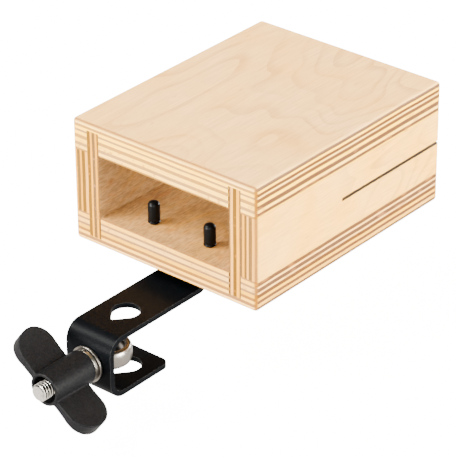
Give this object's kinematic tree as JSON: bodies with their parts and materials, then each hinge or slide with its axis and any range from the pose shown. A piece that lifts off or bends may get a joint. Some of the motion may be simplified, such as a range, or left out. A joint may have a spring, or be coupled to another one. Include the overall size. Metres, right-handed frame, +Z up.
{
  "type": "wood block",
  "caption": "Hollow plywood wood block with saw-slotted sides on a bent steel bracket, clamped to a percussion rod by an eyebolt and a wing nut.",
  "frame": {"origin": "middle of the rod clamp, where the holder rod's axis meets the eyebolt's axis", "axes": "+Z up along the holder rod, +Y from the clamp along the bracket and the block's depth, +X to the right along the block's open front face"},
  "size_m": [0.1046, 0.2123, 0.1013],
  "materials": {
    "plywood": "sanded birch plywood under a thin matt lacquer",
    "black_coated_steel": "satin black powder coat",
    "black_zinc_steel": "black zinc plated",
    "nickel_plated_steel": "bright nickel plated",
    "brass": "turned",
    "black_rubber": "soft matt",
    "black_plastic": "moulded, fine texture"
  },
  "bodies": {
    "block": {"top_board": "plywood", "bottom_board": "plywood", "side_board_left": "plywood", "side_board_right": "plywood", "clamp_bracket": "black_coated_steel", "bracket_screw_left": "black_zinc_steel", "bracket_screw_right": "black_zinc_steel", "screw_insert_left": "brass", "screw_insert_right": "brass", "screw_cap_left": "black_rubber", "screw_cap_right": "black_rubber", "flat_washer": "nickel_plated_steel", "lock_washer": "nickel_plated_steel"},
    "nut": {"wing_nut": "black_plastic", "wing_nut_insert": "nickel_plated_steel"},
    "bolt": {"eyebolt": "nickel_plated_steel"}
  },
  "joints": [
    {"name": "wing_nut_turn", "type": "hinge", "parent": "block", "child": "nut", "pos_m": [0, -0.0284, 0], "axis": [0, -1, 0], "range_deg": [0, 3330]},
    {"name": "eyebolt_slide", "type": "slide", "parent": "block", "child": "bolt", "axis": [0, 1, 0], "range_m": [0, 0.01157]}
  ],
  "couplings": [
    {"joint": "eyebolt_slide", "follows": "wing_nut_turn", "m_per_rad": 0.00019894}
  ]
}
